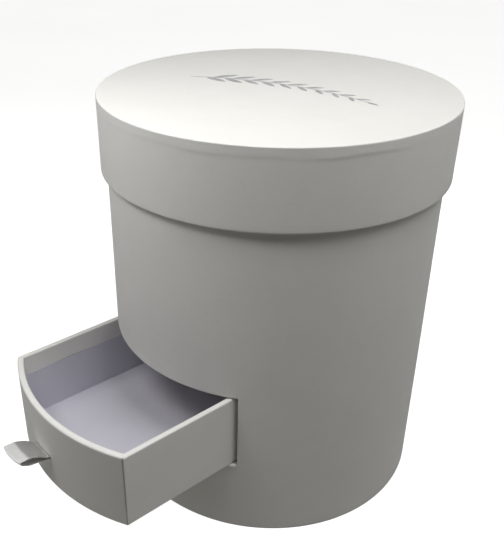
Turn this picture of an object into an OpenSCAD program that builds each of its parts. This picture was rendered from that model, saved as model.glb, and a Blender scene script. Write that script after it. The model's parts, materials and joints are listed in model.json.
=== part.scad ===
// Round lidded flower box with a pull-out drawer, built from wrapped greyboard.
// Millimetres, +Z up. The origin is the centre of the underside, and the drawer pulls out towards -Y.

/* [Body] */
// Outer diameter of the covered body
body_d = 180; // [160:1:200]
// Height of the closed box with its lid on
box_h = 222; // [190:1:250]
// Thickness of the greyboard
board_t = 2.5; // [2:0.1:3]
// Thickness of the cover paper
cover_t = 0.25; // [0.2:0.05:0.35]
// Thickness of the lining paper
lining_t = 0.2; // [0.15:0.05:0.25]
// How far the cover paper turns in over the top rim
rim_turn_in = 15; // [8:1:20]
// How far the cover paper turns under the base
base_turn_in = 12; // [8:1:20]

/* [Lid] */
// Height of the lid
lid_h = 39.5; // [25:0.5:60]
// Radial gap between the body and the lid's lining
lid_gap = 0.5; // [0.4:0.1:1.2]
// How far the top sheet's tabs turn down over the lid's edge
tab_h = 5; // [3:0.5:10]
// How far the rim paper turns up inside the lid
lid_turn_in = 12; // [8:1:18]
// Turn of the printed sprig against the drawer's front, in degrees
sprig_turn = 20; // [-180:1:180]
// Length of the printed sprig
sprig_l = 104; // [70:1:130]

/* [Drawer] */
// Outer width of the drawer
drawer_w = 103; // [90:1:110]
// Outer height of the drawer
drawer_h = 42.6; // [38:0.1:50]
// How far the drawer stands open
drawer_open = 65; // [0:1:90]
// Radius of the drawer's curved front, a little flatter than the body
front_r = 104; // [95:1:120]
// Height of the drawer shelf's upper face above the table
shelf_z = 44.5; // [20:0.5:60]
// Gap between the drawer and each side of the slot in the tube
slot_gap = 2.4; // [1.5:0.1:3]
// Gap between the drawer and each guide board
guide_gap = 1; // [0.6:0.1:1.4]
// Gap between the drawer's top and the slot's top edge
slot_top_gap = 0.7; // [0.5:0.1:1.5]
// How far the drawer's cover paper turns in over its walls
drawer_turn_in = 11.5; // [6:0.5:14]
// How far the back stop stands in from the rear ends of the guides
stop_inset = 7; // [5:1:30]

/* [Ribbon pull] */
// Width of the ribbon
ribbon_w = 15; // [10:1:25]
// Thickness of the ribbon
ribbon_t = 0.4; // [0.3:0.05:0.6]
// How far the ribbon loop stands out from the drawer's front
loop_l = 17; // [12:1:25]
// How far the loop's tip rises above the slit
loop_rise = 6.8; // [3:0.1:9]
// Height of the slit above the drawer's underside
slit_up = 17.6; // [10:0.1:20]
// Sideways place of the ribbon on the drawer's front
ribbon_x = -3; // [-15:1:15]

/* [Hidden] */
$fn = 180;

// Colours
cover_white = [0.86, 0.855, 0.84];
lining_white = [0.80, 0.79, 0.86];
board_grey = [0.56, 0.54, 0.51];
ribbon_white = [0.87, 0.865, 0.84];
foil_silver = [0.70, 0.70, 0.72];

// Clearance left for glue between a board and the tube round it
glue_gap = 0.05;
// Overlap that makes a cut run clean through
cut = 1;

// Body, from the outside in and from the table up
body_r = body_d / 2;
tube_ro = body_r - cover_t;
tube_ri = tube_ro - board_t;
tube_lining_r = tube_ri - lining_t;
inner_r = tube_ri - glue_gap;
base_z = 2 * cover_t;
base_top = base_z + board_t;
base_paper_r = body_r - 4;

// Lid
lid_lining_r = body_r + lid_gap;
lid_ri = lid_lining_r + lining_t;
lid_ro = lid_ri + board_t;
lid_wrap_r = lid_ro + cover_t;
lid_z = box_h - lid_h;
lid_disc_z = box_h - cover_t - board_t;
lid_under_z = lid_disc_z - lining_t;
tab_z = box_h - tab_h;
tube_top = lid_under_z - cover_t;

// Drawer slot and bay
drawer_z = shelf_z + 0.2;
drawer_top = drawer_z + drawer_h;
slot_top = drawer_top + slot_top_gap;
slot_hw = drawer_w / 2 + slot_gap;
ceiling_z = slot_top + 0.5;
ceiling_top = ceiling_z + board_t;
guide_xi = drawer_w / 2 + guide_gap;
guide_xo = guide_xi + board_t;
guide_y = sqrt(pow(inner_r, 2) - pow(guide_xo, 2));
stop_y = guide_y - stop_inset;

// Drawer, where its closed front meets the tube at the two corners
drawer_hw = drawer_w / 2;
corner_y = -sqrt(pow(body_r, 2) - pow(drawer_hw, 2));
front_cy = corner_y + sqrt(pow(front_r, 2) - pow(drawer_hw, 2));
back_y = stop_y - 1;
wall_o = cover_t;
wall_i = cover_t + board_t;
turn_i = wall_i + cover_t;
base_inset = 1.5;
floor_z = drawer_z + 2 * cover_t;
floor_top = floor_z + board_t;
floor_lining_top = floor_top + lining_t;

// Ribbon: the slit, the loop's root on the front's outer face, and the glued tails inside
slit_z = drawer_z + slit_up;
slit_h = 2 * ribbon_t + 0.3;
slit_w = ribbon_w + 0.6;
root_y = front_cy - front_r;
root_gap = 0.6;
tail_h = drawer_h - drawer_turn_in - slit_up - 1;
tail_face_y = root_y + wall_i;
pocket_gap = 0.1;

// A ring between two radii and two heights
module ring(ro, ri, z0, z1) {
    difference() {
        translate([0, 0, z0]) cylinder(r = ro, h = z1 - z0);
        translate([0, 0, z0 - cut]) cylinder(r = ri, h = z1 - z0 + 2 * cut);
    }
}

// A disc between two heights
module disc(r, z0, z1) {
    translate([0, 0, z0]) cylinder(r = r, h = z1 - z0);
}

// The block that cuts the drawer slot, grown by the given margin
module slot_block(grow) {
    translate([-slot_hw - grow, -body_r - 5, shelf_z - grow])
        cube([2 * (slot_hw + grow), body_r + 5, slot_top - shelf_z + 2 * grow]);
}

// The drawer's outline at its closed place, moved in from its outer face
module drawer_outline(inset) {
    intersection() {
        translate([0, front_cy]) circle(r = front_r - inset);
        translate([-drawer_hw + inset, -body_r - 20])
            square([2 * (drawer_hw - inset), body_r + 20 + back_y - inset]);
    }
}

// The part of the outline behind the curved front's inner face
module behind_front(inset) {
    translate([0, front_cy]) circle(r = front_r - inset);
}

// A wall that follows the drawer's outline between two insets and two heights
module drawer_wall(outer, inner, z0, z1) {
    translate([0, 0, z0]) linear_extrude(z1 - z0) difference() {
        drawer_outline(outer);
        drawer_outline(inner);
    }
}

// Moves the drawer's pieces from the closed place to where the drawer stands
module opened() {
    translate([0, -drawer_open, 0]) children();
}

// ---- Body ----

module base_paper() {
    color(cover_white) disc(base_paper_r, 0, cover_t);
}

module base_disc() {
    color(board_grey) disc(inner_r, base_z, base_top);
}

module support_ring() {
    color(board_grey) ring(inner_r, inner_r - board_t, base_top, shelf_z - board_t);
}

module drawer_shelf() {
    color(lining_white) disc(inner_r, shelf_z - board_t, shelf_z);
}

module guide(side) {
    color(board_grey) translate([side > 0 ? guide_xi : -guide_xo, -guide_y, shelf_z])
        cube([board_t, 2 * guide_y, ceiling_z - shelf_z]);
}

module guide_back() {
    color(board_grey) translate([-guide_xi, stop_y, shelf_z])
        cube([2 * guide_xi, board_t, ceiling_z - shelf_z]);
}

module compartment_floor() {
    color(board_grey) disc(inner_r, ceiling_z, ceiling_top);
}

module compartment_floor_paper() {
    color(lining_white) disc(tube_lining_r - glue_gap, ceiling_top, ceiling_top + lining_t);
}

module tube() {
    color(board_grey) difference() {
        ring(tube_ro, tube_ri, base_z, tube_top);
        slot_block(cover_t);
    }
}

// Cover paper: round the tube, over the top rim and down inside, and under the base
module tube_wrap() {
    top = tube_top + cover_t;
    color(cover_white) difference() {
        rotate_extrude() polygon([
            [tube_ri - base_turn_in, cover_t], [body_r, cover_t], [body_r, top],
            [tube_ri - cover_t, top], [tube_ri - cover_t, top - rim_turn_in],
            [tube_ri, top - rim_turn_in], [tube_ri, tube_top], [tube_ro, tube_top],
            [tube_ro, base_z], [tube_ri - base_turn_in, base_z]
        ]);
        slot_block(cover_t);
    }
}

module tube_lining() {
    color(lining_white) ring(tube_ri, tube_lining_r, ceiling_top, tube_top + cover_t - rim_turn_in);
}

// Paper folded through the slot over the tube's cut edges
module slot_edging() {
    color(cover_white) intersection() {
        ring(body_r, tube_ri, shelf_z - cut, slot_top + cut);
        difference() {
            slot_block(cover_t);
            slot_block(0);
        }
    }
}

// ---- Drawer ----

module drawer_base_paper() {
    color(cover_white) opened() translate([0, 0, drawer_z])
        linear_extrude(cover_t) drawer_outline(base_inset);
}

module drawer_floor() {
    color(board_grey) opened() translate([0, 0, floor_z])
        linear_extrude(board_t) drawer_outline(wall_i + glue_gap);
}

// Curved board across the whole width, with the ribbon's slit and the pocket for its tails
module drawer_front() {
    color(board_grey) opened() difference() {
        translate([0, 0, floor_z]) linear_extrude(drawer_top - cover_t - floor_z) difference() {
            drawer_outline(wall_o);
            behind_front(wall_i);
        }
        translate([ribbon_x - slit_w / 2, -body_r - 10, slit_z - slit_h / 2])
            cube([slit_w, 40, slit_h]);
        translate([ribbon_x - slit_w / 2, tail_face_y - 2 * ribbon_t - pocket_gap, slit_z - slit_h / 2])
            cube([slit_w, 5, tail_h + slit_h]);
    }
}

module drawer_side(side) {
    color(board_grey) opened() translate([0, 0, floor_z])
        linear_extrude(drawer_top - cover_t - floor_z) intersection() {
            behind_front(wall_i);
            drawer_outline(wall_o);
            translate([side > 0 ? drawer_hw - wall_i : -drawer_hw + wall_o, -body_r - 10])
                square([board_t, 2 * body_r]);
        }
}

module drawer_back() {
    color(board_grey) opened()
        translate([-drawer_hw + wall_i, back_y - wall_i, floor_z])
            cube([drawer_w - 2 * wall_i, board_t, drawer_top - cover_t - floor_z]);
}

// One cover sheet round all four walls: outer face, turn-under, top edge and turned-in band
module drawer_cover() {
    drawer_wall(0, wall_o, drawer_z + cover_t, drawer_top);
    drawer_wall(0, base_turn_in, drawer_z + cover_t, floor_z);
    drawer_wall(0, turn_i, drawer_top - cover_t, drawer_top);
    drawer_wall(wall_i, turn_i, drawer_top - drawer_turn_in, drawer_top);
}

// The share of the cover that lies on the curved front
module front_share() {
    translate([0, 0, drawer_z - cut]) linear_extrude(drawer_h + 2 * cut) difference() {
        translate([-drawer_hw + wall_o, -body_r - 20]) square([drawer_w - 2 * wall_o, body_r + 20]);
        behind_front(turn_i);
    }
}

// Cover paper of the drawer's sides and back
module drawer_wrap() {
    color(cover_white) opened() difference() {
        drawer_cover();
        front_share();
    }
}

// Cover paper of the curved front, pierced by the ribbon's slit
module drawer_front_wrap() {
    color(cover_white) opened() difference() {
        intersection() {
            drawer_cover();
            front_share();
        }
        translate([ribbon_x - slit_w / 2, -body_r - 10, slit_z - slit_h / 2])
            cube([slit_w, 20, slit_h]);
    }
}

module drawer_floor_lining() {
    color(lining_white) opened() translate([0, 0, floor_top])
        linear_extrude(lining_t) drawer_outline(wall_i + lining_t + glue_gap);
}

module drawer_wall_lining() {
    color(lining_white) opened()
        drawer_wall(wall_i, wall_i + lining_t, floor_top, drawer_top - drawer_turn_in);
}

// ---- Ribbon ----

// The ribbon's two ends, drawn in through the slit and glued up the front's inner face
module ribbon_tails() {
    color(ribbon_white) opened() {
        translate([ribbon_x - ribbon_w / 2, root_y, slit_z - ribbon_t])
            cube([ribbon_w, wall_i, 2 * ribbon_t]);
        translate([ribbon_x - ribbon_w / 2, tail_face_y - 2 * ribbon_t, slit_z - ribbon_t])
            cube([ribbon_w, 2 * ribbon_t, tail_h + ribbon_t]);
    }
}

// A point on a quadratic curve from a through the pull of b to c
function bend(a, b, c, t) = (1 - t) * (1 - t) * a + 2 * t * (1 - t) * b + t * t * c;
function bend_line(a, b, c, n) = [for (i = [0:n]) bend(a, b, c, i / n)];

// Side profile of the loop: [distance out from the root, height over the slit]
loop_steps = 8;
loop_tip = [loop_l, loop_rise];
loop_upper = bend_line([root_gap, ribbon_t], [loop_l * 0.5, loop_rise * 0.75], loop_tip, loop_steps);
loop_lower = bend_line(loop_tip, [loop_l * 0.95, loop_rise * 0.05], [root_gap, -ribbon_t], loop_steps);
inner_root = [root_gap + 1.6, 0.05];
inner_tip = loop_tip - [1.1, 0.6];
inner_upper = bend_line(inner_root, [loop_l * 0.5, loop_rise * 0.68], inner_tip, loop_steps);
inner_lower = bend_line(inner_tip, [loop_l * 0.89, loop_rise * 0.12], inner_root, loop_steps);

module ribbon_pull() {
    color(ribbon_white) opened()
        translate([ribbon_x - ribbon_w / 2, root_y, slit_z])
            rotate([90, 0, 90]) linear_extrude(ribbon_w) mirror([1, 0]) difference() {
                polygon([for (p = loop_upper) p, for (i = [1:loop_steps]) loop_lower[i]]);
                polygon([for (p = inner_upper) p, for (i = [1:loop_steps - 1]) inner_lower[i]]);
            }
}

// ---- Lid ----

module lid_rim() {
    color(board_grey) ring(lid_ro, lid_ri, lid_z + cover_t, lid_disc_z);
}

module lid_disc() {
    color(board_grey) disc(lid_ro, lid_disc_z, box_h - cover_t);
}

// Top sheet, with its cut tabs turned down over the edge as one band
module lid_top_paper() {
    color(cover_white) difference() {
        disc(lid_wrap_r, tab_z, box_h);
        disc(lid_ro, tab_z - cut, box_h - cover_t);
    }
}

// Rim paper: over the tabs at the top, round the rim, and turned up inside
module lid_rim_wrap() {
    color(cover_white) rotate_extrude() polygon([
        [lid_wrap_r, box_h - cover_t], [lid_wrap_r + cover_t, box_h - cover_t],
        [lid_wrap_r + cover_t, tab_z - cover_t], [lid_wrap_r, tab_z - 2 * cover_t],
        [lid_wrap_r, lid_z], [lid_ri - cover_t, lid_z], [lid_ri - cover_t, lid_z + lid_turn_in],
        [lid_ri, lid_z + lid_turn_in], [lid_ri, lid_z + cover_t], [lid_ro, lid_z + cover_t],
        [lid_ro, tab_z], [lid_wrap_r, tab_z]
    ]);
}

module lid_lining_disc() {
    color(lining_white) disc(lid_lining_r - glue_gap, lid_under_z, lid_disc_z);
}

module lid_lining_band() {
    color(lining_white) ring(lid_ri, lid_lining_r, lid_z + lid_turn_in, lid_disc_z);
}

// One pointed leaf along +X from its base, between two arcs
module leaf(length, width) {
    r = (pow(length, 2) + pow(width, 2)) / (4 * width);
    intersection() {
        translate([length / 2, r - width / 2]) circle(r = r);
        translate([length / 2, width / 2 - r]) circle(r = r);
    }
}

// Foil sprig: an arched stem, with pairs of leaves that shorten towards the tip
sprig_r = 130;
sprig_sweep = sprig_l * 180 / (PI * sprig_r);
sprig_drop = 7;
stem_w = 0.6;
leaf_pairs = 9;
leaf_l = 15.5;
leaf_step = 0.85;
leaf_slim = 0.26;
leaf_lean = 33;
foil_t = 0.06;

module sprig_stem() {
    half = sprig_sweep / 2;
    intersection() {
        difference() {
            circle(r = sprig_r + stem_w / 2);
            circle(r = sprig_r - stem_w / 2);
        }
        polygon([[0, 0], 2 * sprig_r * [-sin(half), cos(half)], 2 * sprig_r * [sin(half), cos(half)]]);
    }
}

module sprig() {
    sprig_stem();
    for (i = [1:leaf_pairs], side = [-1, 1]) {
        along = sprig_sweep * (0.5 - (i + 0.2 * side) / (leaf_pairs + 1));
        size = leaf_l - leaf_step * i;
        rotate([0, 0, along]) translate([0, sprig_r]) rotate([0, 0, side * leaf_lean])
            leaf(size, size * leaf_slim);
    }
    // end leaf
    rotate([0, 0, 0.5 - sprig_sweep / 2]) translate([0, sprig_r]) leaf(leaf_l / 2, leaf_l / 2 * leaf_slim);
}

module lid_foil() {
    color(foil_silver) translate([0, 0, box_h]) rotate([0, 0, sprig_turn])
        linear_extrude(foil_t) translate([0, -sprig_r + sprig_drop]) sprig();
}

base_paper();
base_disc();
support_ring();
drawer_shelf();
guide(-1);  // guide_left
guide(1);  // guide_right
guide_back();
compartment_floor();
compartment_floor_paper();
tube();
tube_wrap();
tube_lining();
slot_edging();
drawer_base_paper();
drawer_floor();
drawer_front();
drawer_side(-1);  // drawer_side_left
drawer_side(1);  // drawer_side_right
drawer_back();
drawer_wrap();
drawer_front_wrap();
drawer_floor_lining();
drawer_wall_lining();
ribbon_tails();
ribbon_pull();
lid_rim();
lid_disc();
lid_top_paper();
lid_rim_wrap();
lid_lining_disc();
lid_lining_band();
lid_foil();
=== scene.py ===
"""Looks of the round flower box: covered greyboard, a lined drawer, a satin pull and a foil sprig."""

import json
import math
from collections import Counter

import bpy
import numpy as np
from mathutils import Matrix, Vector

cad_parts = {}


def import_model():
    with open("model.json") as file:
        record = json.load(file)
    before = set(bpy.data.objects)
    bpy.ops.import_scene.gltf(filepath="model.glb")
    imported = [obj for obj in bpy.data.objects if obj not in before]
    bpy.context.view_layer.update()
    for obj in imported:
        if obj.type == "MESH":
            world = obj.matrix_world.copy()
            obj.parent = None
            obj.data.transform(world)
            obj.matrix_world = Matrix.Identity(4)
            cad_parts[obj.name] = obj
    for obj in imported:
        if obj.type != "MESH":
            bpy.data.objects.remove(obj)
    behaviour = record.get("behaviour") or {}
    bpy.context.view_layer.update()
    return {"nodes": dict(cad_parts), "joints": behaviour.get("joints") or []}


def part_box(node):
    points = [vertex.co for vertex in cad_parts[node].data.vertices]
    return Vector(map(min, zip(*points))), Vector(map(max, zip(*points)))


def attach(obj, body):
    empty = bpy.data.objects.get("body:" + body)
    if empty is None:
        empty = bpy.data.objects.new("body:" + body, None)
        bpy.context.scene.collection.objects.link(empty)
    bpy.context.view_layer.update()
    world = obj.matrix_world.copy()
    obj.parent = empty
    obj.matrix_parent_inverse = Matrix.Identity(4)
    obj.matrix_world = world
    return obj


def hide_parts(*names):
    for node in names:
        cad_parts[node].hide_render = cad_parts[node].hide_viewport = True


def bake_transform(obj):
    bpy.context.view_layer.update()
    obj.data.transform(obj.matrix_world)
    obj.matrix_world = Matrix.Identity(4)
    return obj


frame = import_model()
nodes = frame["nodes"]

# ---------------------------------------------------------------- sizes, in metres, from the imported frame

MM = 0.001


def low(node):
    """Lowest corner of a CAD node's box at rest."""
    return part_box(node)[0]


def high(node):
    """Highest corner of a CAD node's box at rest."""
    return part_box(node)[1]


PAPER = high("base_paper").z   # thickness of the cover paper, with its glue
SKIN = 0.2 * MM                # drawn thickness of a sheet of paper
FOLD = 0.7 * MM                # radius of paper folded round a board's edge

# body
BODY_R = high("tube_wrap").x
BODY_TOP = high("tube_wrap").z
BODY_BOTTOM = low("tube_wrap").z
BODY_TURN_R = high("compartment_floor_paper").x
BODY_LINING_R = high("tube_lining").x
LINING_TOP = high("tube_lining").z
LINING_LOW = low("tube_lining").z
BASE_TURN_IN = 12 * MM

# slot that the drawer slides through
SLOT_X = high("slot_edging").x - PAPER
SLOT_LOW = low("slot_edging").z + PAPER
SLOT_HIGH = high("slot_edging").z - PAPER

# lid
LID_TOP = high("lid_top_paper").z
LID_R = high("lid_top_paper").x
LID_LOW = low("lid_rim_wrap").z
RIDGE_R = high("lid_rim_wrap").x
RIDGE_Z = low("lid_top_paper").z
LID_INNER_R = high("lid_lining_band").x
LID_TURN_Z = low("lid_lining_band").z

# drawer
DRAWER_X = high("drawer_wrap").x
DRAWER_LOW = low("drawer_wrap").z
DRAWER_TOP = high("drawer_wrap").z
DRAWER_BACK = high("drawer_wrap").y
FRONT_Y = low("drawer_front_wrap").y
WALL = DRAWER_X - low("drawer_side_right").x
BAND_Z = high("drawer_wall_lining").z
DRAWER_FLOOR = low("drawer_wall_lining").z
DRAWER_TURN_IN = 12 * MM

# the front's arc runs through the drawer's front corners, which touch the body's round outline when shut
SHUT = frame["joints"][0]["range_m"][0]
CORNER_Y = SHUT - math.sqrt(BODY_R ** 2 - DRAWER_X ** 2)
RISE = CORNER_Y - FRONT_Y
FRONT_R = (DRAWER_X ** 2 + RISE ** 2) / (2 * RISE)
FRONT_CY = FRONT_Y + FRONT_R

# ribbon
RIBBON_LOW, RIBBON_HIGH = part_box("ribbon_pull")
RIBBON_X = (RIBBON_LOW.x + RIBBON_HIGH.x) / 2
RIBBON_W = RIBBON_HIGH.x - RIBBON_LOW.x
SLIT_Z = frame["joints"][1]["pos_m"][2]
TAIL_TOP = high("ribbon_tails").z
SLIT_HALF = 0.45 * MM                    # half the height of the slit that the ribbon comes out of
SLIT_HALF_W = RIBBON_W / 2 + 0.3 * MM    # half its width


# ---------------------------------------------------------------- mesh building

def fillet_path(corners, arc_steps=6):
    """Points along a flat path. Each corner is (a, b) or (a, b, radius), and a radius rounds it.
    Also says how folded the paper is at each point, from 0 to 1."""
    points, folds = [], []
    pts = [np.array(c[:2], float) for c in corners]
    for i, corner in enumerate(corners):
        radius = corner[2] if len(corner) > 2 else 0
        if not radius or i in (0, len(corners) - 1):
            points.append(pts[i])
            folds.append(0.0)
            continue
        back = pts[i - 1] - pts[i]
        ahead = pts[i + 1] - pts[i]
        back, ahead = back / np.linalg.norm(back), ahead / np.linalg.norm(ahead)
        half = math.acos(np.clip(back @ ahead, -1, 1)) / 2
        reach = radius / math.tan(half)
        centre = pts[i] + (back + ahead) / np.linalg.norm(back + ahead) * radius / math.sin(half)
        start = pts[i] + back * reach - centre
        end = pts[i] + ahead * reach - centre
        turn = math.atan2(start[0] * end[1] - start[1] * end[0], start @ end)
        for k in range(arc_steps + 1):
            a = turn * k / arc_steps
            spun = np.array([start[0] * math.cos(a) - start[1] * math.sin(a),
                             start[0] * math.sin(a) + start[1] * math.cos(a)])
            points.append(centre + spun)
            folds.append(math.sin(math.pi * (0.15 + 0.7 * k / arc_steps)))
    return np.array(points), np.array(folds)


def normals_of(path):
    """Unit normals to the right of a flat path's direction."""
    along = np.gradient(path, axis=0)
    along /= np.linalg.norm(along, axis=1)[:, None]
    return np.stack([along[:, 1], -along[:, 0]], axis=1)


def grid_faces(rows, cols, wrap=False, skip=None):
    """Quads of a grid of vertices numbered row by row. wrap joins the last column to the first."""
    faces = []
    for i in range(rows - 1):
        for j in range(cols if wrap else cols - 1):
            if skip is not None and skip[i, j]:
                continue
            k = (j + 1) % cols
            faces.append((i * cols + j, i * cols + k, (i + 1) * cols + k, (i + 1) * cols + j))
    return faces


def vertex_normals(points, faces):
    """Unit normals of the points, from the faces round them."""
    f = np.array([q if len(q) == 4 else (*q, q[2]) for q in faces])
    cross = np.cross(points[f[:, 2]] - points[f[:, 0]], points[f[:, 3]] - points[f[:, 1]])
    total = np.zeros_like(points)
    for corner in range(4):
        np.add.at(total, f[:, corner], cross)
    size = np.linalg.norm(total, axis=1)
    size[size == 0] = 1
    return total / size[:, None]


def thicken(points, faces, thickness):
    """A closed sheet: the given outer face, the same face set back by the thickness, and a strip round
    every free edge."""
    n = len(points)
    inner = points - vertex_normals(points, faces) * thickness
    back = [tuple(i + n for i in reversed(f)) for f in faces]
    directed = Counter((a, b) for f in faces for a, b in zip(f, f[1:] + f[:1]))
    rim = [(b, a, a + n, b + n) for a, b in directed if (b, a) not in directed]
    return np.vstack([points, inner]), faces + back + rim


def drop_loose(points, faces, values):
    """Leaves out the points that no face uses."""
    used = sorted({i for f in faces for i in f})
    renumber = {old: new for new, old in enumerate(used)}
    return points[used], [tuple(renumber[i] for i in f) for f in faces], values[used]


def add_piece(name, points, faces, material, body, replaces=(), fold=None, sharp=35):
    """A new object in the scene. fold says how folded each point is. Edges over sharp degrees stay crisp."""
    mesh = bpy.data.meshes.new(name)
    mesh.from_pydata([tuple(map(float, p)) for p in points], [], faces)
    mesh.update()
    mesh.shade_smooth()
    mesh.set_sharp_from_angle(angle=math.radians(sharp))
    worn = mesh.attributes.new("fold", "FLOAT", "POINT")
    if fold is not None:
        worn.data.foreach_set("value", np.asarray(fold, np.float32))
    piece = bpy.data.objects.new(name, mesh)
    bpy.context.scene.collection.objects.link(piece)
    mesh.materials.append(material)
    if body:
        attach(piece, body)
    if replaces:
        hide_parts(*replaces)
    return piece


def add_sheet(name, grid, fold, material, body, replaces=(), wrap=False, skip=None, flip=False,
              thickness=SKIN):
    """A sheet of paper from a grid of points (rows, columns, 3). wrap joins its last column to its first,
    skip marks the quads to leave out, and flip swaps its outer and inner faces."""
    rows, cols = grid.shape[:2]
    faces = grid_faces(rows, cols, wrap, skip)
    if flip:
        faces = [tuple(reversed(f)) for f in faces]
    points, faces, fold = drop_loose(grid.reshape(-1, 3), faces, fold.reshape(-1))
    points, faces = thicken(points, faces, thickness)
    return add_piece(name, points, faces, material, body, replaces, np.concatenate([fold, fold]))


def around(radius, angle, z):
    """A point on a circle about the box's axis. Angle 0 is at the drawer and grows towards +X."""
    return np.stack([radius * np.sin(angle), -radius * np.cos(angle), z + 0 * angle], axis=-1)


def unevenness(seed, size, waves=7, turns=(2, 9)):
    """A smooth random height over (angle, z) that closes on itself round the box, at most about size."""
    rng = np.random.default_rng(seed)
    turns = rng.integers(*turns, waves)
    rise = rng.uniform(-60, 60, waves)
    phase = rng.uniform(0, 2 * math.pi, waves)

    def height(angle, z):
        total = sum(np.sin(t * angle + r * z + p) for t, r, p in zip(turns, rise, phase))
        return size * total / waves * 1.6
    return height


def smooth_step(t):
    """Rises smoothly from 0 to 1 as t does."""
    t = np.clip(t, 0, 1)
    return t * t * (3 - 2 * t)


def lines(start, end, step):
    """Evenly spaced values from start to end, both included, at most step apart."""
    return np.linspace(start, end, max(2, int(math.ceil(abs(end - start) / step)) + 1))


# distances from a cut edge at which a grid has extra lines, so that the paper rolls over it
EDGE_LINES = np.array([0, 0.08, 0.2, 0.36, 0.55, 1.0]) * FOLD
SEAM_STEP = 0.22 * MM    # how far a sheet rises where it laps over its own start
SEAM_LAP = 12 * MM       # how far it laps


def wrapped_round(path, fold, seam, columns, bumps):
    """The grid of a sheet wrapped round the box's axis, from its flat profile of (radius, z).
    The sheet starts at its first column, which the callers put at seam, and laps over its own start at the
    end of the turn. The argument seam is not used."""
    out = normals_of(path)
    angle, run = np.meshgrid(columns, np.arange(len(path)))
    radius = path[run, 0]
    z = path[run, 1]
    lap = SEAM_STEP * smooth_step((columns - columns[0] - 2 * math.pi) * BODY_R / (0.6 * MM) + 1)
    radius = radius + out[run, 0] * (lap[None, :] + bumps(angle, z))
    z = z + out[run, 1] * lap[None, :]
    return around(radius, angle, z), fold[run]


def revolved(path, fold, count):
    """The grid of a whole round sheet, from its flat profile of (radius, z)."""
    angle, run = np.meshgrid(np.linspace(0, 2 * math.pi, count, endpoint=False), np.arange(len(path)))
    return around(path[run, 0], angle, path[run, 1]), fold[run]


# ---------------------------------------------------------------- materials

def new_material(name):
    """A material with its node tree and its shader."""
    material = bpy.data.materials.new(name)
    material.use_nodes = True
    tree = material.node_tree
    return material, tree, tree.nodes["Principled BSDF"]


def coordinates(tree, scale=(1, 1, 1), source="Object"):
    """Places on the object, in metres unless scaled."""
    place = tree.nodes.new("ShaderNodeTexCoord")
    mapping = tree.nodes.new("ShaderNodeMapping")
    mapping.inputs["Scale"].default_value = scale
    tree.links.new(place.outputs[source], mapping.inputs["Vector"])
    return mapping.outputs["Vector"]


def noise(tree, vector, scale, detail=3, roughness=0.55):
    """A soft random value from 0 to 1 at each place."""
    node = tree.nodes.new("ShaderNodeTexNoise")
    node.inputs["Scale"].default_value = scale
    node.inputs["Detail"].default_value = detail
    node.inputs["Roughness"].default_value = roughness
    tree.links.new(vector, node.inputs["Vector"])
    return node.outputs["Fac"]


def ramp(tree, value, stops):
    """stops: (position, colour) pairs, the colour as (r, g, b) or one grey value."""
    node = tree.nodes.new("ShaderNodeValToRGB")
    elements = node.color_ramp.elements
    while len(elements) < len(stops):
        elements.new(0.5)
    for element, (position, colour) in zip(elements, stops):
        element.position = position
        rgb = colour if isinstance(colour, tuple) else (colour,) * 3
        element.color = (*rgb, 1)
    tree.links.new(value, node.inputs["Fac"])
    return node.outputs["Color"]


def mix_colour(tree, factor, first, second, blend="MIX"):
    """Mixes two colours, each a socket or a plain (r, g, b). factor is a socket or a number."""
    node = tree.nodes.new("ShaderNodeMix")
    node.data_type = "RGBA"
    node.blend_type = blend
    for value, socket in ((factor, node.inputs[0]), (first, node.inputs[6]), (second, node.inputs[7])):
        if isinstance(value, bpy.types.NodeSocket):
            tree.links.new(value, socket)
        elif isinstance(value, tuple):
            socket.default_value = (*value, 1)
        else:
            socket.default_value = value
    return node.outputs[2]


def maths(tree, operation, first, second):
    """The result of one operation. Each input is a socket or a number."""
    node = tree.nodes.new("ShaderNodeMath")
    node.operation = operation
    for value, socket in ((first, node.inputs[0]), (second, node.inputs[1])):
        if isinstance(value, bpy.types.NodeSocket):
            tree.links.new(value, socket)
        else:
            socket.default_value = value
    return node.outputs[0]


def bump(tree, height, distance, strength=1.0, under=None):
    """Fine relief, as deep as distance where the height is 1, laid over the relief given as under."""
    node = tree.nodes.new("ShaderNodeBump")
    node.inputs["Distance"].default_value = distance
    node.inputs["Strength"].default_value = strength
    tree.links.new(height, node.inputs["Height"])
    if under is not None:
        tree.links.new(under, node.inputs["Normal"])
    return node.outputs["Normal"]


def fibres(tree, scale):
    """Height of a felt of paper fibres: three stretched noises lying in different directions."""
    total = None
    for turn in (0.3, 1.4, 2.5):
        vector = coordinates(tree, (scale, scale * 0.16, scale))
        vector.node.inputs["Rotation"].default_value = (turn, 0.7 * turn, turn)
        layer = noise(tree, vector, 1.0, detail=2)
        total = layer if total is None else maths(tree, "ADD", total, layer)
    return total


def worn_fold(tree, strength):
    """How worn the paper is: patchy, and only along folded edges."""
    attribute = tree.nodes.new("ShaderNodeAttribute")
    attribute.attribute_name = "fold"
    patches = ramp(tree, noise(tree, coordinates(tree), 140, detail=4), [(0.42, 0.0), (0.68, 1.0)])
    worn = maths(tree, "MULTIPLY", attribute.outputs["Fac"], patches)
    return maths(tree, "MULTIPLY", worn, strength)


SCUFFED = (0.9, 0.89, 0.87)    # colour of paper where its folds are worn


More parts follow.
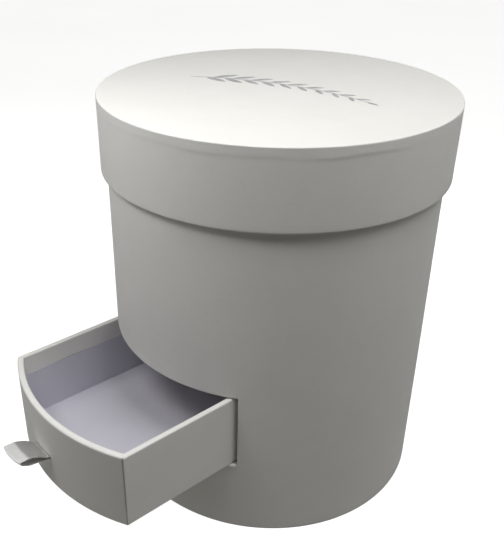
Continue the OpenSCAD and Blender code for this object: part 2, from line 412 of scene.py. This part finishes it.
def paper_material(name, colour, shade, rough, wear=0.5):
    """Uncoated paper over board: soft mottling, a felt of fibres and scuffed folds."""
    material, tree, shader = new_material(name)
    cloud = noise(tree, coordinates(tree), 38, detail=5, roughness=0.6)
    tone = ramp(tree, cloud, [(0.3, shade), (0.7, colour)])
    speck = ramp(tree, noise(tree, coordinates(tree), 900, detail=2), [(0.30, 0.965), (0.42, 1.0)])
    tone = mix_colour(tree, 1.0, tone, speck, "MULTIPLY")
    tone = mix_colour(tree, worn_fold(tree, wear), tone, SCUFFED)
    tree.links.new(tone, shader.inputs["Base Color"])
    gloss = noise(tree, coordinates(tree), 90, detail=4)
    tree.links.new(ramp(tree, gloss, [(0.3, rough - 0.07), (0.7, rough + 0.05)]), shader.inputs["Roughness"])
    shader.inputs["Specular IOR Level"].default_value = 0.14
    glue = bump(tree, noise(tree, coordinates(tree), 110, detail=2), 0.08 * MM, 0.5)
    felt = bump(tree, fibres(tree, 2600), 0.012 * MM, under=glue)
    tree.links.new(felt, shader.inputs["Normal"])
    return material


def greyboard_material():
    """Recycled board: grey-brown, with dark and light flecks and a rough felt."""
    material, tree, shader = new_material("greyboard")
    cloud = noise(tree, coordinates(tree), 160, detail=5, roughness=0.65)
    tone = ramp(tree, cloud, [(0.3, (0.20, 0.18, 0.155)), (0.7, (0.31, 0.29, 0.26))])
    flecks = ramp(tree, noise(tree, coordinates(tree), 1500, detail=2), [(0.33, 0.55), (0.42, 1.0)])
    tone = mix_colour(tree, 1.0, tone, flecks, "MULTIPLY")
    tree.links.new(tone, shader.inputs["Base Color"])
    tree.links.new(ramp(tree, cloud, [(0.3, 0.85), (0.7, 0.98)]), shader.inputs["Roughness"])
    shader.inputs["Specular IOR Level"].default_value = 0.2
    tree.links.new(bump(tree, fibres(tree, 1500), 0.05 * MM), shader.inputs["Normal"])
    return material


def satin_material():
    """Woven satin ribbon. Its long warp floats give a highlight that spreads across the ribbon and not
    along it. The UV map is in millimetres, U along the ribbon."""
    material, tree, shader = new_material("satin_ribbon")
    warp = noise(tree, coordinates(tree, (0.5, 14, 1), "UV"), 1.0, detail=2)
    weft = noise(tree, coordinates(tree, (9, 1.2, 1), "UV"), 1.0, detail=2)
    weave = maths(tree, "ADD", warp, maths(tree, "MULTIPLY", weft, 0.6))
    cloud = noise(tree, coordinates(tree, (0.25, 0.4, 1), "UV"), 1.0, detail=3)
    tone = ramp(tree, weave, [(0.5, (0.52, 0.515, 0.50)), (1.1, (0.64, 0.635, 0.62))])
    tone = mix_colour(tree, 1.0, tone, ramp(tree, cloud, [(0.3, 0.93), (0.7, 1.0)]), "MULTIPLY")
    tree.links.new(tone, shader.inputs["Base Color"])
    tree.links.new(ramp(tree, weave, [(0.5, 0.34), (1.1, 0.27)]), shader.inputs["Roughness"])
    shader.inputs["Metallic"].default_value = 0.62
    shader.inputs["Specular IOR Level"].default_value = 1.0
    shader.inputs["Subsurface Weight"].default_value = 0.6
    shader.inputs["Subsurface Radius"].default_value = (1.0, 0.98, 0.94)
    shader.inputs["Subsurface Scale"].default_value = 0.8 * MM
    shader.inputs["Anisotropic"].default_value = 0.9
    shader.inputs["Anisotropic Rotation"].default_value = 0.25
    tangent = tree.nodes.new("ShaderNodeTangent")
    tangent.direction_type = "UV_MAP"
    tree.links.new(tangent.outputs["Tangent"], shader.inputs["Tangent"])
    tree.links.new(bump(tree, weave, 0.012 * MM), shader.inputs["Normal"])
    return material


def foil_material():
    """Hot-stamped silver foil: bright, a little crazed, and thin in patches where it took badly."""
    material, tree, shader = new_material("silver_foil")
    fine = noise(tree, coordinates(tree), 1800, detail=3)
    patch = noise(tree, coordinates(tree), 260, detail=4)
    tone = ramp(tree, patch, [(0.3, (0.30, 0.30, 0.31)), (0.62, (0.46, 0.46, 0.475))])
    tree.links.new(tone, shader.inputs["Base Color"])
    shader.inputs["Metallic"].default_value = 1.0
    tree.links.new(ramp(tree, fine, [(0.3, 0.24), (0.7, 0.42)]), shader.inputs["Roughness"])
    tree.links.new(bump(tree, fine, 0.01 * MM), shader.inputs["Normal"])
    return material


def floor_material():
    """Pale paper sweep, self-lit so that it stays white."""
    material, tree, shader = new_material("studio_floor")
    cloud = noise(tree, coordinates(tree), 3, detail=3)
    tone = ramp(tree, cloud, [(0.3, (0.86, 0.86, 0.855)), (0.7, (0.88, 0.88, 0.875))])
    tree.links.new(tone, shader.inputs["Base Color"])
    shader.inputs["Roughness"].default_value = 0.95
    shader.inputs["Specular IOR Level"].default_value = 0.1
    tree.links.new(tone, shader.inputs["Emission Color"])
    shader.inputs["Emission Strength"].default_value = 1.05
    return material


COVER = paper_material("cover_paper", (0.80, 0.792, 0.758), (0.775, 0.767, 0.733), 0.62)
LINING = paper_material("lining_paper", (0.66, 0.648, 0.712), (0.63, 0.618, 0.68), 0.75, wear=0.0)
GLUE = paper_material("glued_board", (0.56, 0.52, 0.475), (0.48, 0.445, 0.40), 0.8, wear=0.0)
BOARD = greyboard_material()
SATIN = satin_material()
FOIL = foil_material()

# what the CAD nodes that stay are made of; the pieces below replace the others
FINISHES = {
    BOARD: ("base_disc", "support_ring", "compartment_floor", "tube", "drawer_floor", "drawer_front",
            "drawer_side_left", "drawer_side_right", "drawer_back", "lid_rim", "lid_disc"),
    COVER: ("base_paper", "drawer_base_paper"),
    LINING: ("drawer_shelf", "guide_left", "guide_right", "guide_back", "compartment_floor_paper",
             "drawer_floor_lining", "lid_lining_disc"),
    FOIL: ("lid_foil",),
}
for finish, names in FINISHES.items():
    for node_name in names:
        nodes[node_name].data.materials.clear()
        nodes[node_name].data.materials.append(finish)


# ---------------------------------------------------------------- body

def cut_roll(distance):
    """How far paper rolls inwards at a distance from the edge it is folded over."""
    near = np.clip(FOLD - distance, 0, FOLD)
    return FOLD - np.sqrt(FOLD ** 2 - near ** 2)


def body_cover():
    """Cover paper round the body, folded over the rim and under the base, and rolled into the slot."""
    heights = np.concatenate([
        lines(BODY_BOTTOM + 3 * MM, SLOT_LOW - 2 * FOLD, 6 * MM), SLOT_LOW - EDGE_LINES[::-1],
        lines(SLOT_LOW + 4 * MM, SLOT_HIGH - 4 * MM, 6 * MM), SLOT_HIGH + EDGE_LINES,
        lines(SLOT_HIGH + 2 * FOLD, BODY_TOP - 3 * MM, 5 * MM)])
    corners = [(BODY_R - PAPER - BASE_TURN_IN, BODY_BOTTOM), (BODY_R, BODY_BOTTOM, FOLD)]
    corners += [(BODY_R, z) for z in heights]
    corners += [(BODY_R, BODY_TOP, FOLD), (BODY_TURN_R, BODY_TOP, FOLD), (BODY_TURN_R, LINING_TOP)]
    path, fold = fillet_path(corners)

    seam = math.radians(176) - 2 * math.pi
    half_slot = math.asin(SLOT_X / BODY_R)
    rolled = EDGE_LINES / BODY_R
    step = math.radians(0.75)
    columns = np.concatenate([
        lines(seam, -half_slot - 1.5 * rolled[-1], step), -half_slot - rolled[::-1],
        lines(-half_slot + step, half_slot - step, step), half_slot + rolled,
        lines(half_slot + 1.5 * rolled[-1], seam + 2 * math.pi - 1.5 * SKIN / BODY_R, step),
        lines(seam + 2 * math.pi, seam + 2 * math.pi + SEAM_LAP / BODY_R, step)])
    grid, folds = wrapped_round(path, fold, seam, columns, unevenness(3, 0.08 * MM))

    outside = path[:, 0] > BODY_R - 0.01 * MM
    aside = np.maximum(np.abs(columns) - half_slot, 0) * BODY_R
    above = np.maximum(np.maximum(SLOT_LOW - path[:, 1], path[:, 1] - SLOT_HIGH), 0)
    distance = np.hypot(aside[None, :], above[:, None])
    distance[~outside] = 1    # far enough: only the outer face rolls into the slot
    roll = cut_roll(distance)
    grid *= np.stack([1 - roll / BODY_R, 1 - roll / BODY_R, np.ones_like(roll)], axis=-1)
    folds = np.maximum(folds, np.clip(1 - distance / FOLD, 0, 1))
    in_slot = distance < 1e-9
    skip = in_slot[:-1, :-1] & in_slot[1:, :-1] & in_slot[:-1, 1:] & in_slot[1:, 1:]
    add_sheet("body_cover", grid, folds, COVER, "tub", ["tube_wrap"], skip=skip)


def slot_edging():
    """Paper folded in through the slot, over the board's cut edges."""
    corner = 0.5 * MM
    frame_path = [(0, SLOT_LOW), (SLOT_X, SLOT_LOW, corner), (SLOT_X, SLOT_HIGH, corner),
                  (-SLOT_X, SLOT_HIGH, corner), (-SLOT_X, SLOT_LOW, corner), (0, SLOT_LOW)]
    ring, fold = fillet_path(frame_path, arc_steps=4)
    ring = np.vstack([np.linspace(a, b, 14, endpoint=False) for a, b in zip(ring[:-1], ring[1:])])
    depths = np.linspace(BODY_R - 0.6 * FOLD, BODY_LINING_R, 5)
    grid = np.array([[(x, -math.sqrt(r * r - x * x), z) for x, z in ring] for r in depths])
    add_sheet("slot_edging_paper", grid, np.zeros(grid.shape[:2]), COVER, "tub",
              ["slot_edging"], wrap=True)


def slot_flap():
    """A torn scrap of cover paper that curls out over the slot's lower corner."""
    rng = np.random.default_rng(11)
    width, length = 3.2 * MM, 2.3 * MM
    along, across = np.meshgrid(np.linspace(0, 1, 14), np.linspace(0, 1, 12))
    torn = 0.75 + 0.25 * np.sin(math.pi * across) + 0.07 * rng.standard_normal((12, 1))
    reach = along * torn * length
    bend, curl = 0.9 * MM, 1.9
    turned = np.minimum(reach / bend, curl)
    x = SLOT_X - 0.3 * MM - width * (1 - across) * (1 - 0.25 * along)
    face = -np.sqrt(BODY_R ** 2 - x ** 2)
    y = face + 0.35 * MM - bend * np.sin(turned) - 0.25 * MM * along
    root = SLOT_LOW + 0.12 * MM
    z = root - bend * (1 - np.cos(turned)) - np.maximum(reach - curl * bend, 0)
    grid = np.stack([x, y, z], axis=-1)
    add_sheet("slot_flap", grid, 0.6 * along, COVER, "tub", flip=True, thickness=0.12 * MM)


def body_lining():
    """Lining paper inside the body, below the cover paper that turns in over the rim."""
    path, fold = fillet_path([(BODY_LINING_R - PAPER, z) for z in lines(LINING_TOP, LINING_LOW, 8 * MM)])
    grid, folds = revolved(path, fold, 360)
    add_sheet("body_lining", grid, folds, LINING, "tub", ["tube_lining"], wrap=True,
              thickness=PAPER * 0.8)


body_cover()
slot_edging()
slot_flap()
body_lining()


# ---------------------------------------------------------------- lid

TAB_W = 14 * MM      # width of the tabs that are cut in the top sheet and turned down
TAB_COUNT = int(round(2 * math.pi * LID_R / TAB_W))


def tab_height(angle, z):
    """How thick the turned-down tabs are under the rim paper, from 0 below them to 1 at their uneven ends.
    They thin out again towards the lid's top."""
    rng = np.random.default_rng(21)
    ends = rng.uniform(-0.7, 0.7, TAB_COUNT + 1) * MM
    lift = rng.uniform(0.15, 1.0, TAB_COUNT + 1)
    ends[-1], lift[-1] = ends[0], lift[0]
    place = (angle / (2 * math.pi) * TAB_COUNT) % TAB_COUNT
    tab = np.floor(place).astype(int)
    across = place - tab
    end = ends[tab] * (1 - across) + ends[tab + 1] * across
    thick = lift[tab] * (1 - smooth_step(across)) + lift[tab + 1] * smooth_step(across)
    sag = 0.25 * MM * np.sin(angle * 3 + 1.2)
    slope = 2.7 * MM
    step = smooth_step((z - RIDGE_Z - end - sag) / slope + 0.5)
    up = np.clip((z - RIDGE_Z) / (LID_TOP - RIDGE_Z), 0, 1)
    pressed = 0.6 + 0.4 * np.cos(angle - math.radians(60))
    from_cut = np.minimum(across, 1 - across) * TAB_W
    notch = 0.6 * np.exp(-(from_cut / (0.8 * MM)) ** 2) * (1 - up)
    return step * (1 - 0.95 * up) * thick * pressed * (1 - notch)


def lid_rim_cover():
    """Rim paper: over the tabs at the top, down the rim, round its lower edge and up inside."""
    fine = lines(RIDGE_Z + 2.2 * MM, RIDGE_Z - 2.2 * MM, 0.25 * MM)
    heights = np.concatenate([lines(LID_TOP - 0.45 * MM, RIDGE_Z + 2.5 * MM, 0.6 * MM), fine,
                              lines(RIDGE_Z - 3 * MM, LID_LOW + 3 * MM, 4 * MM)])
    corners = [(LID_R, z) for z in heights]
    turned_in = LID_INNER_R - PAPER
    corners += [(LID_R, LID_LOW, FOLD), (turned_in, LID_LOW, FOLD), (turned_in, LID_TURN_Z)]
    path, fold = fillet_path(corners)
    path, fold = path[::-1], fold[::-1]
    seam = math.radians(161) - 2 * math.pi
    step = math.radians(0.5)
    columns = np.concatenate([
        lines(seam, seam + 2 * math.pi - 1.5 * SKIN / LID_R, step),
        lines(seam + 2 * math.pi, seam + 2 * math.pi + SEAM_LAP / LID_R, step)])
    wavy = unevenness(5, 0.05 * MM)
    lumpy = unevenness(9, 0.09 * MM, waves=12, turns=(18, 70))

    def bumps(angle, z):
        room = RIDGE_R - LID_R + np.minimum(lumpy(angle, z), 0)
        return wavy(angle, z) + tab_height(angle, z) * room

    grid, folds = wrapped_round(path, fold, seam, columns, bumps)
    add_sheet("lid_rim_cover", grid, folds, COVER, "lid", ["lid_rim_wrap"])


def lid_top():
    """Top sheet, creased over the lid's edge. Its tabs run down under the rim paper."""
    crease = 0.45 * MM
    corners = [(LID_R - 0.03 * MM, RIDGE_Z), (LID_R - 0.03 * MM, LID_TOP, crease)]
    corners += [(r, LID_TOP) for r in lines(LID_R - 1.5 * MM, 0.3 * MM, 4 * MM)]
    path, fold = fillet_path(corners)
    grid, folds = revolved(path, fold, 480)
    add_sheet("lid_top_sheet", grid, folds, COVER, "lid", ["lid_top_paper"], wrap=True,
              thickness=PAPER * 0.9)


def lid_lining():
    """Lining paper inside the lid's rim."""
    heights = lines(high("lid_lining_band").z, LID_TURN_Z, 8 * MM)
    path, fold = fillet_path([(LID_INNER_R - SKIN, z) for z in heights])
    grid, folds = revolved(path, fold, 360)
    add_sheet("lid_lining", grid, folds, LINING, "lid", ["lid_lining_band"], wrap=True)


lid_rim_cover()
lid_top()
lid_lining()


# ---------------------------------------------------------------- drawer

def arc_y(x, inset):
    """The curved front at a sideways place, set back from its outer face."""
    return FRONT_CY - np.sqrt((FRONT_R - inset) ** 2 - np.asarray(x) ** 2)


def corner_gap(inset):
    """How far the papers stop short of the front's corner: a gap on the outer face, none over the rim."""
    return 0.04 * MM + 0.42 * MM * (1 - smooth_step(inset / (0.5 * MM)))


def side_path(inset, start_gap):
    """Plan of the sheet round the drawer's sides and back: from the front's right edge round to its left."""
    half = DRAWER_X - inset
    back = DRAWER_BACK - inset
    round_corner = max(0.7 * MM - inset, 0.12 * MM)
    front = float(arc_y(half, inset))
    slope = half / math.sqrt((FRONT_R - inset) ** 2 - half ** 2)
    turn = start_gap / math.hypot(1, slope)
    edge_round = min(round_corner, 0.45 * start_gap)
    stations = np.linspace(front + 2 * MM, back - 2 * MM, 25)
    corners = [(half - turn, front - turn * slope), (half, front, edge_round)]
    corners += [(half, y) for y in stations]
    corners += [(half, back, round_corner), (-half, back, round_corner)]
    corners += [(-half, y) for y in stations[::-1]]
    corners += [(-half, front, edge_round), (-half + turn, front - turn * slope)]
    return fillet_path(corners, arc_steps=4)


def cover_profile():
    """Section of the drawer's cover paper as (inset, height): under the edge, up, over the rim and down
    inside."""
    corners = [(DRAWER_TURN_IN, DRAWER_LOW), (0, DRAWER_LOW, FOLD)]
    corners += [(0, z) for z in lines(DRAWER_LOW + 2 * MM, SLIT_Z - SLIT_HALF, 3 * MM)]
    corners += [(0, z) for z in lines(SLIT_Z + SLIT_HALF, DRAWER_TOP - 2 * MM, 3 * MM)]
    corners += [(0, DRAWER_TOP, FOLD), (WALL + PAPER, DRAWER_TOP, FOLD)]
    corners += [(WALL + PAPER, z) for z in lines(DRAWER_TOP - 1.5 * MM, BAND_Z + 0.5 * MM, 2 * MM)]
    corners += [(WALL + PAPER, BAND_Z)]
    return fillet_path(corners)


def drawer_covers():
    """The two sheets of cover paper: one round the sides and back, and one on the curved front.
    Their seam at each front corner widens towards the rim and wanders a little."""
    profile, fold = cover_profile()
    rng = np.random.default_rng(31)
    wander = np.cumsum(rng.uniform(-1, 1, len(profile)))
    wander = 0.10 * MM * (wander - wander.mean()) / abs(wander - wander.mean()).max()

    sides, side_folds = [], []
    for (inset, z), f in zip(profile, fold):
        plan, plan_fold = side_path(inset, corner_gap(inset))
        trim = 0.25 * MM * np.sin(np.arange(len(plan)) * 0.55) * (abs(z - BAND_Z) < 0.1 * MM)
        sides.append([(x, y, z + t) for (x, y), t in zip(plan, trim)])
        side_folds.append(np.maximum(plan_fold * 0.7, f))
    add_sheet("drawer_side_cover", np.array(sides), np.array(side_folds), COVER, "drawer",
              ["drawer_wrap"])

    front, front_folds = [], []
    slit = (RIBBON_X - SLIT_HALF_W, RIBBON_X + SLIT_HALF_W)
    seam_foot, seam_widens = 0.12 * MM, 0.38 * MM
    for (inset, z), f, drift in zip(profile, fold, wander):
        half = DRAWER_X - inset
        open_corner = corner_gap(inset) / corner_gap(0)
        up = (z - DRAWER_LOW) / (DRAWER_TOP - DRAWER_LOW)
        seam = corner_gap(0) + seam_foot + seam_widens * up
        right = half - (seam + drift) * open_corner
        left = -half + (seam - drift) * open_corner
        x = np.concatenate([np.linspace(left, slit[0], 40), np.linspace(*slit, 12)[1:-1],
                            np.linspace(slit[1], right, 46)])
        trim = 0.2 * MM * np.sin(x / (4.1 * MM)) * (abs(z - BAND_Z) < 0.1 * MM)
        front.append(np.stack([x, arc_y(x, inset), z + trim], axis=-1))
        front_folds.append(np.full(len(x), f))
    grid, folds = np.array(front), np.array(front_folds)
    middle = (grid[:-1, :-1] + grid[1:, 1:]) / 2
    beside = np.abs(middle[..., 0] - RIBBON_X) < SLIT_HALF_W
    level = np.abs(middle[..., 2] - SLIT_Z) < SLIT_HALF
    outer = (profile[:-1, 0] < 0.01 * MM)[:, None]
    add_sheet("drawer_front_cover", grid, folds, COVER, "drawer", ["drawer_front_wrap"],
              flip=True, skip=beside & level & outer)


def corner_glue():
    """Board and dried glue that show in the seams at the front's corners, just under the papers' faces."""
    depth = 0.08 * MM
    bend = DRAWER_TOP - FOLD
    rolled = bend + FOLD * np.array([0.3, 0.55, 0.75, 0.9])
    heights = np.concatenate([lines(DRAWER_LOW + FOLD, bend, 2 * MM), rolled])
    for side, name in ((1, "corner_glue_right"), (-1, "corner_glue_left")):
        rows = []
        for z in heights:
            inset = depth + FOLD - math.sqrt(FOLD ** 2 - max(z - bend, 0) ** 2)
            x = side * np.linspace(DRAWER_X - inset - 1.4 * MM, DRAWER_X - inset - 0.15 * MM, 6)
            rows.append(np.stack([x, arc_y(x, inset), z + 0 * x], axis=-1))
        grid = np.array(rows)
        add_sheet(name, grid, np.zeros(grid.shape[:2]), GLUE, "drawer", flip=side > 0,
                  thickness=0.1 * MM)


def drawer_lining():
    """Lining paper round the inside of the drawer's walls."""
    inset = WALL + PAPER * 0.8
    half = DRAWER_X - inset
    back = DRAWER_BACK - inset
    front = float(arc_y(half, inset))
    corner = 0.8 * MM
    side = lines(back - 4 * MM, front + 4 * MM, 7 * MM)
    plan = [(0, back), (half, back, corner)] + [(half, y) for y in side]
    plan += [(half, front, corner)]
    plan += [(x, float(arc_y(x, inset))) for x in lines(half - 2 * MM, -half + 2 * MM, 3 * MM)]
    plan += [(-half, front, corner)] + [(-half, y) for y in side[::-1]]
    plan += [(-half, back, corner), (0.1 * MM, back)]
    ring, fold = fillet_path(plan, arc_steps=5)
    heights = lines(BAND_Z - 0.05 * MM, DRAWER_FLOOR + 0.05 * MM, 3 * MM)
    grid = np.array([[(x, y, z) for x, y in ring] for z in heights])
    add_sheet("drawer_wall_paper", grid, np.zeros(grid.shape[:2]), LINING, "drawer",
              ["drawer_wall_lining"], wrap=True, thickness=PAPER * 0.7)


drawer_covers()
corner_glue()
drawer_lining()


# ---------------------------------------------------------------- ribbon

def ribbon_way():
    """The strip's side profile as (distance out from the front, height over the slit): up the front's inside,
    out through the slit with a hump, along the upper ply to the tip, and back by the lower ply."""
    rise = RIBBON_HIGH.z - SLIT_Z
    reach = FRONT_Y - RIBBON_LOW.y
    inside = -WALL
    upper = [(inside + 0.5 * MM, TAIL_TOP - SLIT_Z), (inside + 0.5 * MM, 0.2 * MM, 0.4 * MM),
             (0.35 * MM, 0.2 * MM, 0.2 * MM), (0.6 * MM, 1.35 * MM, 0.45 * MM),
             (1.9 * MM, 1.15 * MM, 1.2 * MM),
             (0.34 * reach, 0.60 * rise, 9 * MM), (0.64 * reach, 0.94 * rise, 9 * MM),
             (0.975 * reach, 0.95 * rise, 0.3 * MM)]
    lower = [(0.93 * reach, 0.66 * rise, 2 * MM), (0.68 * reach, 0.32 * rise, 7 * MM),
             (0.40 * reach, 0.19 * rise, 6 * MM), (0.35 * MM, -0.2 * MM, 0.3 * MM),
             (inside + 0.2 * MM, -0.2 * MM, 0.3 * MM), (inside + 0.2 * MM, TAIL_TOP - SLIT_Z)]
    path, _ = fillet_path(upper + lower, arc_steps=7)
    dense = [path[0]]
    for a, b in zip(path[:-1], path[1:]):
        parts = max(1, int(np.linalg.norm(b - a) / (0.8 * MM)))
        dense += [a + (b - a) * k / parts for k in range(1, parts + 1)]
    return np.array(dense), reach


def ribbon_pull():
    """One strip of satin, with its tip bowed out and askew."""
    path, reach = ribbon_way()
    run = np.concatenate([[0], np.cumsum(np.linalg.norm(np.diff(path, axis=0), axis=1))])
    across = np.linspace(-1, 1, 17)
    free = np.clip(path[:, 0] / reach, 0, 1)[:, None]
    u = across[None, :]
    bow = 1.5 * MM * free ** 2 * (1 - u ** 2)
    askew = 0.65 * MM * free * u
    cup = 0.25 * MM * np.sin(math.pi * free) * (1 - u ** 2)
    grid = np.stack([RIBBON_X + u * RIBBON_W / 2 * (1 - 0.02 * free),
                     FRONT_Y - path[:, :1] - bow + askew,
                     SLIT_Z + path[:, 1:] - askew + cup], axis=-1)
    points, faces = grid.reshape(-1, 3), grid_faces(len(path), len(across))
    points, faces = thicken(points, faces, 0.22 * MM)
    ribbon = add_piece("ribbon_loop", points, faces, SATIN, None,
                       ["ribbon_pull", "ribbon_tails"], sharp=60)
    uv = ribbon.data.uv_layers.new(name="UVMap")
    cell = [(run[i] / MM, v * RIBBON_W / 2 / MM) for i in range(len(path)) for v in across] * 2
    for loop in ribbon.data.loops:
        uv.data[loop.index].uv = cell[loop.vertex_index]
    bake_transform(ribbon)


ribbon_pull()


# ---------------------------------------------------------------- studio

def studio_floor():
    """A pale floor that shows behind the box but doesn't light it: table_bounce stands for its light."""
    half = 60    # so far that its edges fall on the horizon
    points = [(x * half, y * half, 0) for x, y in ((-1, -1), (1, -1), (1, 1), (-1, 1))]
    floor = add_piece("studio_floor", np.array(points, float), [(0, 1, 2, 3)], floor_material(), None)
    floor.visible_diffuse = False
    floor.visible_glossy = False


def area_light(name, place, aim, size, power):
    """A soft square light at a place, turned to face another place."""
    data = bpy.data.lights.new(name, "AREA")
    data.size = size
    data.energy = power
    lamp = bpy.data.objects.new(name, data)
    lamp.location = place
    lamp.rotation_euler = (Vector(place) - Vector(aim)).to_track_quat("Z", "Y").to_euler()
    lamp.visible_camera = False
    bpy.context.scene.collection.objects.link(lamp)
    return lamp


def far_light(name, heading, elevation, size, power):
    """A light 2 m from the box. Heading 0 is in front of the drawer and 90 is towards +X, in degrees."""
    a, e = math.radians(heading), math.radians(elevation)
    aim = Vector((0, -0.03, 0.1))
    place = aim + 2 * Vector((math.sin(a) * math.cos(e), -math.cos(a) * math.cos(e), math.sin(e)))
    return area_light(name, place, aim, size, power)


def studio_lights():
    """Soft lamps above, beside and in front of the box, one off the table and two behind, in metres."""
    centre = (0, -0.02, 0.15)
    area_light("overhead_right", (0.23, 0.01, 0.6), centre, 0.3, 1.5)
    area_light("table_left", (-0.275, -0.476, 0.3), centre, 0.3, 0.2)
    area_light("high_front", (-0.12, -0.48, 0.52), centre, 0.14, 0.15)
    area_light("high_right", (0.46, 0.1, 0.52), centre, 0.14, 0.14)
    area_light("down_drawer", (-0.05, -0.22, 0.34), (-0.05, -0.22, 0), 0.12, 0.19)
    area_light("down_front", (-0.02, -0.3, 0.45), (-0.02, -0.3, 0), 0.08, 0.18)
    area_light("down_right", (0.07, -0.24, 0.42), (0.07, -0.24, 0), 0.08, 0.12)
    area_light("down_lid", (0.02, -0.06, 0.42), (0.02, -0.06, 0), 0.1, 0.09)
    bounce = area_light("table_bounce", (0, -0.03, 0.3 * MM), (0, -0.03, 1), 0.9, 0.67)
    bounce.data.color = (1, 0.98, 0.93)
    bounce.visible_glossy = False
    far_light("fill_right", 133, 15, 0.9, 1.4)
    area_light("table_back", (-0.2, 0.5, 0.27), (0, 0.05, 0.15), 0.3, 0.9).visible_glossy = False


def camera():
    """The camera of the reference view, off-centre as that view is framed, with its slight roll."""
    data = bpy.data.cameras.new("camera")
    data.lens = 48.4
    data.sensor_width = 36
    data.shift_x = 0.0655
    data.shift_y = -0.0236
    lens = bpy.data.objects.new("camera", data)
    place = Vector((0.2712, -0.2694, 0.3227))
    aim = Vector((-0.0203, -0.0242, 0.1192))
    view = (place - aim).to_track_quat("Z", "Y").to_matrix().to_4x4()
    roll = Matrix.Rotation(math.radians(0.13), 4, "Z")
    lens.matrix_world = Matrix.Translation(place) @ view @ roll
    bpy.context.scene.collection.objects.link(lens)
    bpy.context.scene.camera = lens


def world():
    """A pale surrounding, seen directly and in reflections. The lamps alone light the box."""
    sky = bpy.data.worlds.new("studio")
    sky.use_nodes = True
    sky.node_tree.nodes["Background"].inputs["Color"].default_value = (1, 1, 1, 1)
    sky.node_tree.nodes["Background"].inputs["Strength"].default_value = 0.8
    bpy.context.scene.world = sky
    sky.cycles_visibility.diffuse = False


studio_floor()
studio_lights()
camera()
world()
bpy.context.scene.view_settings.view_transform = "Standard"
